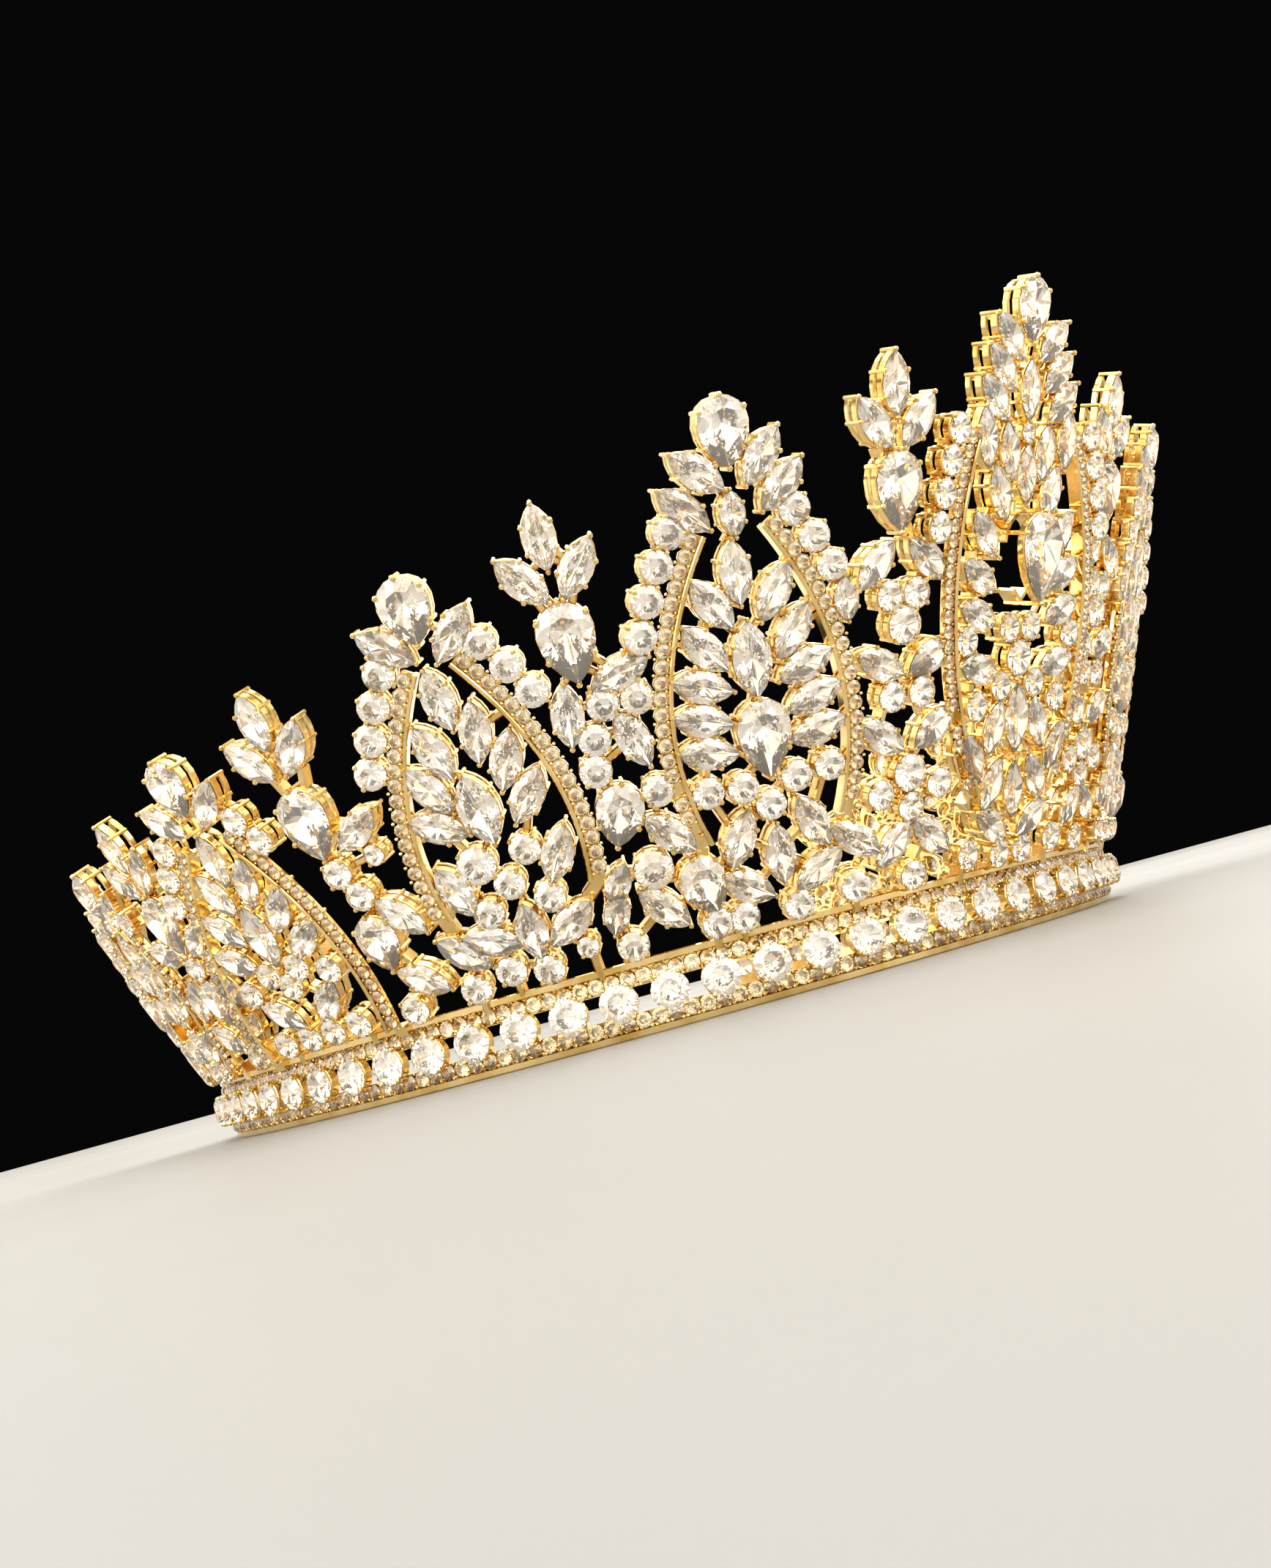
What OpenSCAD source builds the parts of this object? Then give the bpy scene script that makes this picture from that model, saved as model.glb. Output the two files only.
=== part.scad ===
/* [Band] */
// Outer radius of the band's lower edge, which rests on the head
band_r = 78; // [74:0.5:82]
// How far the band's top edge stands out past its lower edge
band_flare = 1.0; // [0.6:0.1:1.4]
// Height of the band
band_h = 9.6; // [9.4:0.1:10.2]
// Thickness of the band's two rails
rail_t = 1.8; // [1.4:0.1:2.4]
// Height of the lower rail, with its row of small stones
lower_rail_h = 3.1; // [2.8:0.1:3.4]
// Height of the upper rail
upper_rail_h = 3.2; // [2.8:0.1:3.4]
// Half of the band's arc, counted from the front, in degrees
band_half_arc = 129.8; // [129:0.2:134]
// Angle between neighbouring band stones, in degrees
band_step = 4.9; // [4.9:0.02:4.96]
// Number of band stones on each side of the front one
band_side_stones = 26; // [20:1:26]
// Diameter of the band stones
band_stone_d = 5; // [4.6:0.1:5.1]
/* [Settings] */
// Lean of the motifs outward from upright, in degrees
lean_out = 23.6; // [20:0.2:26]
// Radius of the motifs' backs at the band's top edge
motif_r = 77; // [76.6:0.1:77.4]
// Depth of the settings, from back to front
setting_depth = 3; // [2.6:0.1:3.4]
// Wall of a setting round its stone
cup_wall = 0.45; // [0.4:0.05:0.6]
// Gap between a stone and its setting
stone_gap = 0.12; // [0.1:0.01:0.14]
// Width of the small bars that tie neighbouring settings together
tie_w = 1.1; // [1:0.1:1.8]
// How far the lowest settings reach down into the band's upper rail
foot_sink = 1.2; // [0.8:0.1:1.6]
/* [Arches] */
// Width of an arch's leg, under its small stones
leg_w = 2.3; // [2:0.1:2.6]
// Width of the polished rim along the inner edge of a leg
rim_w = 0.9; // [0.7:0.1:1.1]
// How far that rim reaches back behind the settings
rim_back = 0.6; // [0.4:0.1:1.2]
// Distance of the round side stones from a leg's middle line
side_stone_out = 3.1; // [3:0.05:3.2]
// Distance between neighbouring side stones
side_stone_step = 4.1; // [4.1:0.05:4.3]
/* [Stones] */
// Height of a stone's crown as a share of its width
crown_share = 0.17; // [0.12:0.01:0.2]
// Depth of a stone's pavilion as a share of its width
pavilion_share = 0.38; // [0.3:0.01:0.4]
// Size of the table as a share of the girdle
table_share = 0.56; // [0.5:0.01:0.65]

/* [Hidden] */
GOLD = [0.86, 0.64, 0.3];
CLEAR = [0.92, 0.94, 0.96];
// Sides of the outline of a field stone, of a main stone, and of a setting whose stone is no solid here
FIELD_SIDES = 8;
MAIN_SIDES = 12;
PLAIN_SIDES = 6;
// Height of a band stone's middle, and the radius of its girdle from the crown's axis
band_stone_z = 4.8;
band_girdle_r = band_r + 1.8;
// Walls and depth of the band's cups
band_cup_wall = 0.35;
band_cup_depth = 3.2;
// Gaps narrower than twice this are closed in the pierced plates
close_gap = 0.5;
// The rim stands this far inside the leg's edge
rim_step = 0.35;
// Straight lengths that stand for a leg's curve, and for a full turn of the band
LEG_STEPS = 6;
BAND_STEPS = 96;
// Settings and legs that end lower than this reach down into the band
foot_limit = 5.5;
// The wall of the raised seat of the front centre stone
raised_wall = 0.7;

// Stone kinds: name, outline, width, length, height of the girdle over the motif's back
KINDS = [
    ["crest", "pear", 6.4, 8.4, 2.9],
    ["drop", "pear", 7, 10, 2.9],
    ["big", "pear", 8, 12, 5.9],
    ["low", "pear", 6, 8, 2.9],
    ["long", "marquise", 5, 9.6, 2.9],
    ["leaf", "marquise", 4, 8, 2.9],
    ["bud", "marquise", 3.2, 5.6, 2.9],
    ["r5", "round", 5, 5, 2.9],
    ["r4", "round", 4, 4, 2.9],
    ["r3", "round", 2.8, 2.8, 2.9]
];
// The kinds whose every stone is a piece of its own
MAIN_KINDS = ["crest", "drop", "big", "low", "long"];

// Arches: name, angle from the front, height of the crest stone, half width, height of the widest
// place, bend radius of the legs, height of the legs' feet, height of their tops, side stones toward
// the front, side stones toward the back, pairs of flanking leaves, height of the lower fan's top,
// distance of the crest stone from the middle line toward the crown's front
ARCHES = [
    ["arch_0", 0, 75.2, 15.6, 38, 55, 11, 59.5, 4, 4, 3, 27, 0],
    ["arch_1", 26.7, 62.8, 12.6, 27.5, 38, 13, 51.8, 3, 4, 0, 22, 0.6],
    ["arch_2", 49.6, 51.8, 11.4, 20.5, 36.5, 12.7, 44.9, 3, 4, 0, 22, -0.6],
    ["arch_3", 75.3, 42, 13.6, 8, 37, 0.5, 34, 2, 3, 1, 18, 0],
    ["arch_4", 99, 35.2, 9.2, 13, 30, 2, 28.5, 1, 3, 1, 13, 0]
];
// Finials between the arches: name, angle from the front, height of the top leaf, drop of the pear under it
FINIALS = [
    ["finial_1", 13.3, 65.8, 13],
    ["finial_2", 39.8, 55.6, 13],
    ["finial_3", 64.4, 45.4, 14.6],
    ["finial_4", 87.2, 38.6, 13],
    ["finial_5", 111, 28.6, 13]
];
// Sideways places of an arch's flanking leaves, from the top down, and their first drop, step and lean
FLANK_X = [4.7, 6.2, 7.5];
flank_drop = 3.7;
flank_step = 3.9;
flank_lean = 48;
// A finial's side leaves: sideways place, drop and lean
trefoil_x = 3.35;
trefoil_drop = 4.5;
trefoil_lean = 38;

// Stones of each motif: kind, distance from the motif's middle line toward the crown's front,
// height along the motif over the band, lean of the upper tip toward the front in degrees.
// Stones that stand alone:
SINGLES = [
    ["arch_0", [
        ["leaf", 0, 65, 0], ["r3", 0, 59.5, 0], ["leaf", 0, 54.1, 0], ["big", 0, 43.2, 0], ["r5", 0, 29.6, 0],
        ["long", 0, 21.4, 0], ["leaf", 0, 11.4, 0]]],
    ["arch_1", [
        ["leaf", -3.5, 58.7, -50], ["leaf", -5.8, 54.6, -46], ["leaf", 4.8, 59.3, 38],
        ["leaf", 6.9, 55.6, 46],
        ["bud", 0.2, 53.2, 0], ["leaf", -0.5, 46.2, 0], ["bud", 13.3, 40.3, 2], ["long", 0, 35.4, 0],
        ["drop", 0.2, 25.2, 0], ["r4", -0.3, 16.7, 0], ["leaf", 0, 10, 0], ["low", -10.5, 8.3, -18],
        ["leaf", 10.4, 9.4, -51], ["r4", -6, 2.9, 0], ["r4", 1.6, 2.6, 0]]],
    ["arch_2", [
        ["leaf", -4.6, 48.3, -48], ["leaf", 3.7, 47.6, 45], ["leaf", -0.7, 40.4, -6],
        ["leaf", -3.7, 34.4, -18], ["leaf", 2.2, 35.4, 12], ["leaf", -5.9, 30, -30],
        ["leaf", 4.6, 30.9, 26], ["leaf", -6.5, 25.1, -62], ["leaf", 5.6, 25.9, 40], ["long", -0.9, 25.9, -6],
        ["r5", -3.7, 19, 0], ["r4", 2.9, 19.4, 0], ["r4", -0.5, 15.5, 0], ["leaf", -7.4, 16.4, -22],
        ["leaf", 6.6, 17.6, 30], ["r4", -4.4, 12.4, 0], ["r4", 3.8, 12.4, 0], ["leaf", 0, 8.6, 0],
        ["leaf", -5.3, 8.8, -70], ["leaf", -9.3, 8.2, -48], ["leaf", 5.2, 8.3, 56], ["r4", -4.4, 4.2, 0],
        ["r4", 0.4, 3, 0], ["r3", 6.2, 4.6, 0], ["r4", -9.6, 3, 0]]],
    ["arch_3", [
        ["leaf", 0, 31, 0], ["long", 0, 19, 0], ["r4", 0, 11, 0]]],
    ["arch_4", [
        ["leaf", 0, 24.8, 0], ["leaf", 0, 14.4, 0], ["r4", 0, 8.4, 0]]],
    ["finial_1", [
        ["r5", 0, 36, 0], ["r5", 0, 16.6, 0], ["r4", 0, 12, 0], ["r4", 0, 2.6, 0]]],
    ["finial_2", [
        ["leaf", 5, 37.5, 74], ["r4", 2.1, 34.2, 0], ["leaf", -2.4, 34, 7], ["r4", 6.3, 34, 0],
        ["r4", 0, 30.3, 0], ["leaf", 4.6, 29.2, -17], ["r4", -0.9, 26.4, 0], ["low", 0.5, 20.2, 18],
        ["r4", 5.9, 22, 0], ["leaf", 6, 16.2, -42], ["r5", 2.8, 12.2, 0], ["bud", -2, 11.6, 30],
        ["leaf", 2.9, 6.9, -40], ["bud", -3.1, 7.8, 20], ["r4", -2.2, 3, 0]]],
    ["finial_3", [
        ["leaf", 6.3, 28.2, 62], ["r3", 7, 24.4, 0], ["r4", 0.6, 23.5, 0], ["r4", 2.2, 19.8, 0],
        ["leaf", 6.4, 15.6, -40], ["low", 1.4, 12.9, 0], ["leaf", 5, 6.4, -56], ["r4", 1.4, 2.6, 0]]],
    ["finial_4", [
        ["r4", 0, 18.3, 0], ["low", 0, 12.2, 0], ["r4", 0, 2.6, 0]]],
    ["finial_5", [
        ["r4", 0, 7.6, 0], ["r4", 0, 2.6, 0]]]
];
// Stones that come in mirrored pairs, with the same columns:
PAIRS = [
    ["arch_0", [
        ["leaf", 8.9, 58.6, 10], ["leaf", 3.9, 57, 12], ["leaf", 5.6, 51.6, 22], ["leaf", 8.4, 46.2, 42],
        ["leaf", 9.4, 40.8, 62], ["leaf", 9.4, 35.8, 72], ["leaf", 8.8, 28.6, 80], ["r4", 11.6, 32.4, 0],
        ["r4", 2.4, 33.8, 0], ["r4", 3.8, 26, 0], ["leaf", 5, 20.4, -22], ["r4", 9, 23.6, 0],
        ["leaf", 9.3, 16.6, 30], ["leaf", 5, 12.6, -28], ["leaf", 4.6, 6.9, 58], ["r4", 2.6, 2.6, 0],
        ["r4", 9.6, 3.4, 0]]],
    ["arch_1", [
        ["leaf", 4.1, 43, 34], ["leaf", 5.8, 37.8, 39], ["leaf", 6.8, 33.3, 70], ["leaf", 7.4, 29.1, 72],
        ["leaf", 7.3, 24.9, 78], ["r4", 3.6, 19.6, 0], ["r4", 8.2, 20, 0], ["leaf", 5, 13.2, -25],
        ["leaf", 4.9, 6.8, 58], ["r4", 9.6, 3, 0]]],
    ["arch_2", []],
    ["arch_3", [
        ["leaf", 3.2, 26.6, 24], ["leaf", 5.8, 21.6, 44], ["r4", 3, 13.4, 0], ["leaf", 7.2, 16.8, 60],
        ["leaf", 4.6, 7.4, 50], ["r4", 8.2, 11.6, 0], ["r4", 2.4, 3, 0], ["r4", 7.6, 3, 0]]],
    ["arch_4", [
        ["leaf", 3.4, 20.4, 26], ["leaf", 5.2, 14.8, 52], ["leaf", 4.2, 6.6, 54], ["r4", 2.2, 2.4, 0]]],
    ["finial_1", [
        ["leaf", 4.1, 44, -46], ["r4", 2.1, 39.9, 0], ["leaf", 4, 31.4, 64], ["r4", 2.4, 27, 0],
        ["leaf", 4.2, 22, 56], ["r4", 4.8, 14.4, 0], ["leaf", 3.1, 7.6, -46]]],
    ["finial_2", []],
    ["finial_3", []],
    ["finial_4", [
        ["leaf", 5.2, 22, 66], ["leaf", 5.3, 13.6, -30], ["leaf", 3.9, 6.6, 50]]],
    ["finial_5", [
        ["leaf", 5, 11, 60], ["leaf", 4.2, 5.4, 40]]]
];

// Row of a table with the given name
function row_of(table, name) = [for (r = table) if (r[0] == name) r][0];
function is_arch(name) = len([for (a = ARCHES) if (a[0] == name) a]) > 0;
function is_main(kind) = len([for (k = MAIN_KINDS) if (k == kind) k]) > 0;
function mirrored(rows) = [for (r = rows) [r[0], -r[1], r[2], -r[3]]];

// A leg's middle line is a parabola with the given bend at its widest place
function leg_x(a, s) = a[3] - pow(s - a[4], 2) / (2 * a[5]);
function leg_along(a, s) = let (dx = -(s - a[4]) / a[5]) [dx, 1] / norm([dx, 1]);
function leg_point(a, s, out) = let (t = leg_along(a, s)) [leg_x(a, s) + out * t[1], s - out * t[0]];
function leg_heights(a) = [for (i = [0:LEG_STEPS]) a[6] + (a[7] - a[6]) * i / LEG_STEPS];
function side_stone_s(a, k) =
    k == 0 ? a[7] - 1 : let (s = side_stone_s(a, k - 1)) s - side_stone_step * leg_along(a, s)[1];
function side_stones(a, count) =
    [for (k = [0:1:count - 1])
        let (p = leg_point(a, side_stone_s(a, k), side_stone_out))
        ["r4", p[0], p[1], 0]];

// All stones of a motif, as rows of the same four columns
function flanks(a) =
    [for (k = [0:1:a[10] - 1]) ["leaf", FLANK_X[k], a[2] - flank_drop - flank_step * k, flank_lean]];
function arch_rows(a) = concat(
    [["crest", a[12], a[2], 0]], flanks(a), mirrored(flanks(a)),
    side_stones(a, a[8]), mirrored(side_stones(a, a[9])));
function trefoil_rows(f) = let (side = [["leaf", trefoil_x, f[2] - trefoil_drop, trefoil_lean]]) concat(
    [["leaf", 0, f[2], 0]], side, mirrored(side), [["drop", 0, f[2] - f[3], 0]]);
function motif_rows(name) = let (pairs = row_of(PAIRS, name)[1]) concat(
    is_arch(name) ? arch_rows(row_of(ARCHES, name)) : trefoil_rows(row_of(FINIALS, name)),
    row_of(SINGLES, name)[1], pairs, mirrored(pairs));

// Each motif stands once at the front, or once on either side: name, angle, whether it is mirrored
UNITS = [for (m = concat(ARCHES, FINIALS))
    each m[1] == 0 ? [[m[0], 0, 0]] : [[m[0], -m[1], 0], [m[0], m[1], 1]]];
function unit_rows(u) = u[2] == 1 ? mirrored(motif_rows(u[0])) : motif_rows(u[0]);
function side_word(u) = u[1] == 0 ? "" : u[1] < 0 ? "_left" : "_right";
function stone_name(u, kind) = str(u[0], side_word(u), "_", kind, "_stone");

// The leaves above an arch's lower fan, and a finial's three top leaves, are solids here
function leaf_floor(name) =
    is_arch(name) ? row_of(ARCHES, name)[11] : row_of(FINIALS, name)[2] - trefoil_drop - 1;
function is_field_leaf(name, r) = r[0] == "leaf" && r[2] > leaf_floor(name);
function has_solid(name, r) = is_main(r[0]) || is_field_leaf(name, r);
function sides_of(name, r) = is_main(r[0]) ? MAIN_SIDES : is_field_leaf(name, r) ? FIELD_SIDES : PLAIN_SIDES;

// Outlines of the stones, counterclockwise, from the width and the length
function round_points(w, n) =
    [for (i = [0:n - 1]) let (t = 360 * (i + 0.5) / n) w / 2 * [cos(t), sin(t)]];
function marquise_points(w, l, n) =
    let (arc = (l * l + w * w) / (4 * w), reach = asin(l / 2 / arc),
         right = [for (i = [0:n / 2 - 1])
             let (t = 2 * reach * i / (n / 2) - reach)
             arc * [cos(t), sin(t)] - [arc - w / 2, 0]])
    concat(right, -right);
function pear_points(w, l, n) =
    let (r = w / 2, mid = l / 2 - r, h = l - r, arc = (r * r + h * h) / (2 * r),
         reach = asin(h / arc), m = n / 4,
         flank = [for (i = [1:m - 1]) [r - arc + arc * cos(reach * i / m), mid - arc * sin(reach * i / m)]])
    concat([for (i = [0:2 * m]) [r * cos(90 * i / m), mid + r * sin(90 * i / m)]],
           [for (p = flank) [-p[0], p[1]]], [[0, -l / 2]], [for (i = [m - 2:-1:0]) flank[i]]);
function stone_points(kind, n) = let (k = row_of(KINDS, kind))
    k[1] == "round" ? round_points(k[2], n) : k[1] == "marquise" ? marquise_points(k[2], k[3], n)
    : pear_points(k[2], k[3], n);
// The culet stands under the middle of the stone's widest part
function culet_y(kind) = let (k = row_of(KINDS, kind)) k[1] == "pear" ? (k[3] - k[2]) / 2 : 0;

// A cut stone: flat table, one ring of crown facets, one ring of pavilion facets; z = 0 is the girdle
module cut_stone(outline, w, culet) {
    n = len(outline);
    table = [for (p = outline) [p[0] * table_share, culet + (p[1] - culet) * table_share, crown_share * w]];
    girdle = [for (p = outline) [p[0], p[1], 0]];
    polyhedron(
        points = concat(table, girdle, [[0, culet, -pavilion_share * w]]),
        faces = concat(
            [[for (i = [n - 1:-1:0]) i]],
            [for (i = [0:n - 1]) [i, (i + 1) % n, n + (i + 1) % n, n + i]],
            [for (i = [0:n - 1]) [n + i, n + (i + 1) % n, 2 * n]]));
}

module kind_stone(kind, sides) {
    k = row_of(KINDS, kind);
    translate([0, 0, k[4]])
        cut_stone(stone_points(kind, sides), k[2], culet_y(kind));
}

// Places a motif: x runs along the crown, y up the motif, z out of its back
module place_motif(angle) {
    rotate([0, 0, angle])
        translate([0, -motif_r, band_h])
            rotate([90 + lean_out, 0, 0])
                children();
}

module at_row(r) {
    translate([r[1], r[2]])
        rotate(-r[3])
            children();
}

module tie(p, q, w) {
    d = q - p;
    translate(p)
        rotate(atan2(d[1], d[0]))
            translate([0, -w / 2])
                square([norm(d), w]);
}

// The nearest of the stones that stand lower than a point, as its row
function nearest_lower(p, rows) =
    let (below = [for (r = rows) if (r[2] < p[1] - 0.5) r], far = [for (r = below) norm([r[1], r[2]] - p)],
         best = min(far))
    [for (i = [0:len(below) - 1]) if (far[i] == best) below[i]][0];
// Settings this close overlap by themselves, whatever way their stones point
function touching(p, r, q) =
    norm([r[1], r[2]] - p) < (row_of(KINDS, r[0])[2] + row_of(KINDS, q)[2]) / 2 * 0.9 + cup_wall;

function tie_end(p, rows) =
    p[1] < foot_limit ? [p[0], cup_wall - foot_sink] : let (r = nearest_lower(p, rows)) [r[1], r[2]];

// Lowest settings get a foot into the band, all others a tie to the next one down
module ties(rows) {
    for (r = rows) {
        p = [r[1], r[2]];
        if (p[1] < foot_limit || !touching(p, nearest_lower(p, rows), r[0]))
            tie(p, tie_end(p, rows), tie_w - 2 * cup_wall);
    }
}

module leg_strip(a, inner, outer) {
    heights = leg_heights(a);
    polygon(concat(
        [for (s = heights) leg_point(a, s, outer)],
        [for (i = [LEG_STEPS:-1:0]) leg_point(a, heights[i], inner)]));
}

module both_sides() {
    children();
    mirror([1, 0]) children();
}

// Everything that a motif's plate is made of, drawn one cup wall smaller than it is
module plate_core(u, rows) {
    for (r = rows)
        at_row(r)
            polygon(stone_points(r[0], sides_of(u[0], r)));
    ties(rows);
    if (is_arch(u[0])) {
        a = row_of(ARCHES, u[0]);
        half = leg_w / 2 - cup_wall;
        both_sides() {
            leg_strip(a, -half, half);
            foot = [leg_x(a, a[6]), a[6]];
            tie(foot, tie_end(foot, rows), 2 * half);
        }
    }
}

module seats(u, rows) {
    for (r = rows)
        if (has_solid(u[0], r))
            at_row(r)
                polygon(stone_points(r[0], sides_of(u[0], r)));
}

// One soldered motif: its pierced plate, the rims of its legs and the raised seat of its big stone
module motif_metal(u) {
    rows = unit_rows(u);
    linear_extrude(setting_depth)
        offset(delta = -close_gap)
            difference() {
                offset(delta = cup_wall + close_gap)
                    plate_core(u, rows);
                offset(delta = stone_gap - close_gap)
                    seats(u, rows);
            }
    if (is_arch(u[0])) {
        a = row_of(ARCHES, u[0]);
        inner = -leg_w / 2 - rim_step;
        translate([0, 0, -rim_back])
            linear_extrude(rim_back + setting_depth)
                difference() {
                    both_sides()
                        leg_strip(a, inner, inner + rim_w);
                    offset(delta = stone_gap)
                        seats(u, rows);
                }
    }
    for (r = rows)
        if (r[0] == "big")
            raised_seat(r);
}

module raised_seat(r) {
    top = row_of(KINDS, r[0])[4];
    low = 1;
    translate([0, 0, low])
        linear_extrude(top - low)
            at_row(r)
                difference() {
                    offset(delta = raised_wall)
                        polygon(stone_points(r[0], MAIN_SIDES));
                    offset(delta = stone_gap)
                        polygon(stone_points(r[0], MAIN_SIDES));
                }
}

module rail(low, high) {
    out_low = band_r + band_flare * low / band_h;
    out_high = band_r + band_flare * high / band_h;
    rotate([0, 0, -90 - band_half_arc])
        rotate_extrude(angle = 2 * band_half_arc, $fn = BAND_STEPS)
            polygon([[out_low - rail_t, low], [out_low, low], [out_high, high], [out_high - rail_t, high]]);
}

module at_band_stone(i) {
    rotate([0, 0, i * band_step])
        translate([0, -band_girdle_r, band_stone_z])
            rotate([90, 0, 0])
                children();
}

module band_metal() {
    flat_turn = 180 / FIELD_SIDES;
    bore = band_stone_d / 2 + stone_gap / cos(flat_turn);
    cup_r = bore + band_cup_wall / cos(flat_turn);
    difference() {
        union() {
            rail(0, lower_rail_h);
            rail(band_h - upper_rail_h, band_h);
            for (i = [-band_side_stones:band_side_stones])
                at_band_stone(i)
                    translate([0, 0, -band_cup_depth])
                        rotate(flat_turn)
                            cylinder(r = cup_r, h = band_cup_depth, $fn = FIELD_SIDES);
        }
        for (i = [-band_side_stones:band_side_stones])
            at_band_stone(i)
                translate([0, 0, -band_cup_depth - 1])
                    rotate(flat_turn)
                        cylinder(r = bore, h = band_cup_depth + 2, $fn = FIELD_SIDES);
    }
}

// All soldered metal, one solid
module frame() {
    color(GOLD) {
        band_metal();
        for (u = UNITS)
            place_motif(u[1])
                motif_metal(u);
    }
}

module band_stones() {
    color(CLEAR)
        for (i = [-band_side_stones:band_side_stones])
            at_band_stone(i)
                cut_stone(round_points(band_stone_d, FIELD_SIDES), band_stone_d, 0);
}

module leaf_field(motifs) {
    color(CLEAR)
        for (u = UNITS)
            if (len([for (m = motifs) if (m[0] == u[0]) m]) > 0)
                place_motif(u[1])
                    for (r = unit_rows(u))
                        if (is_field_leaf(u[0], r))
                            at_row(r)
                                kind_stone(r[0], FIELD_SIDES);
}

module arch_leaves() {
    leaf_field(ARCHES);
}

module finial_leaves() {
    leaf_field(FINIALS);
}

module main_stone(u, r) {
    color(CLEAR)
        place_motif(u[1])
            at_row(r)
                kind_stone(r[0], MAIN_SIDES);
}

frame();
band_stones();
arch_leaves();
finial_leaves();
for (u = UNITS)
    for (r = unit_rows(u))
        if (is_main(r[0]))
            main_stone(u, r);
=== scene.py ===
from math import asin, cos, degrees, floor, hypot, inf, pi, radians, sin

import bpy
import numpy as np
from mathutils import Matrix, Vector


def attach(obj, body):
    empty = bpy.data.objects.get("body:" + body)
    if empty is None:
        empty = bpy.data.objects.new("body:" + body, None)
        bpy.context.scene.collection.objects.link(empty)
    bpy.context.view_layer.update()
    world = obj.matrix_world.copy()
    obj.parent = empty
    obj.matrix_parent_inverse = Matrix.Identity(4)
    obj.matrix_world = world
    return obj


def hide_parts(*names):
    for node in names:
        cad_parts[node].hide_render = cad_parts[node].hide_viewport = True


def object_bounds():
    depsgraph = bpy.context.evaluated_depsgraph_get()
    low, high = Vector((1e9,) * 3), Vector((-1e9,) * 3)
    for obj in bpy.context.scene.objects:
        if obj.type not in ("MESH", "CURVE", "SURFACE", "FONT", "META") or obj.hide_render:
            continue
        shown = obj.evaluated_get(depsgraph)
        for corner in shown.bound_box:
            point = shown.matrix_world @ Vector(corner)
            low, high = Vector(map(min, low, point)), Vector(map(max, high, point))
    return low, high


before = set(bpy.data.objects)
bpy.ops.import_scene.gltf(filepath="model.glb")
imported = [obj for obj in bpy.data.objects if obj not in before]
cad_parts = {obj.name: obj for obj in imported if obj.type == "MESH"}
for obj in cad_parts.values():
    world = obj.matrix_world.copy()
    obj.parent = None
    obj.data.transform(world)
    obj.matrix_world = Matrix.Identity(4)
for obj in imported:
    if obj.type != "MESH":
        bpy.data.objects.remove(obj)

cad_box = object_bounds()

# All sizes of the object below are in millimetres, as in the solids
MM = 0.001

# Band
BAND_R = 78.0
BAND_FLARE = 1.0
BAND_H = 9.6
RAIL_T = 1.8
LOWER_RAIL_H = 3.1
UPPER_RAIL_H = 3.2
BAND_HALF_ARC = 129.8
BAND_STEP = 4.9
BAND_SIDE_STONES = 26
BAND_STONE_Z = 4.8
BAND_GIRDLE_R = BAND_R + 1.8
BAND_STEPS = 180

# Settings
LEAN_OUT = 23.6
MOTIF_R = 77.0
CUP_WALL = 0.45
# Rings of metal round a stone: distance of the outer face outward, thickness, height
BASE_RING = (0.0, 0.45, 0.75)
GALLERY = (0.12, 0.34, 1.0)
BAND_GALLERY = (0.05, 0.3, 1.3)
BIG_COLLAR = (0.1, 0.5, 2.6)
# Stretches of the collar under the big stone, from point to point of the stone's outline
BIG_STRETCHES = ((0, 8), (11, 13))
COLLAR_BEVEL = 0.12
GALLERY_DROP = 0.3

# Prongs: their radius for stones narrower than each width
PRONG_RADII = ((4, 0.3), (6, 0.36), (inf, 0.42))
PRONG_SIDES = 5
PRONG_POST_SHARE = 0.72
PRONG_TIP_SHARE = 0.9
PRONG_FOOT = 0.05
PRONG_BEND = 0.4
PRONG_OUT = 0.04
PRONG_BEAD_LIFT = 0.08

# Bars from setting to setting, and links between settings that nearly touch
BAR_LOW = 0.1
BAR_BEVEL = 0.2
TIE_W = 1.0
TIE_TOP = 1.9
TIE_LEAST = 0.2
TOUCH_SHARE = 0.9
LOWER_BY = 0.5
FOOT_SINK = 1.2
FOOT_LIMIT = 5.5
LINK_SEARCH = 13
LINK_REACH = 1.15
LINK_SINK = 0.4
LINK_W = 0.9
LINK_TOP = 1.3

# Arches
LEG_W = 2.3
LEG_STEPS = 22
RIM_W = 0.6
RIM_STEP = 0.35
RIM_LOW = 1.1
RIM_TOP = 3.05
RIM_CHAMFER = 0.12
# Lower and upper face of the spine under a leg's tiny stones: height, distance in from the leg's outer side
LEG_SPINE = ((1.6, 0.7), (2.2, 0.5))
SPINE_UNDER_RIM = 0.1
LEG_CUP = (2.1, 2.7)
LEG_CUP_MARGIN = 0.04
LEG_GIRDLE = 2.8
# Least distance from the middle of a leg's tiny stone to a larger stone; closer ones are left out
LEG_CLEAR = 0.6
# Where a larger stone is felt: on its outline and on smaller copies of it, as shares of its size
MARK_SHARES = (0.35, 0.7, 1)
SIDE_STONE_START = 1
SIDE_STONE_OUT = 3.1
SIDE_STONE_STEP = 4.1

# Stones
SIDES = 16
CROWN_SHARE = 0.17
PAVILION_SHARE = 0.38
TABLE_SHARE = 0.56
STAR_REACH = 0.81
STAR_HEIGHT = 0.52
LOWER_REACH = 0.24
LOWER_DEPTH = 0.78
GIRDLE_T = 0.07
STONE_GROWTH = 0.05

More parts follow.
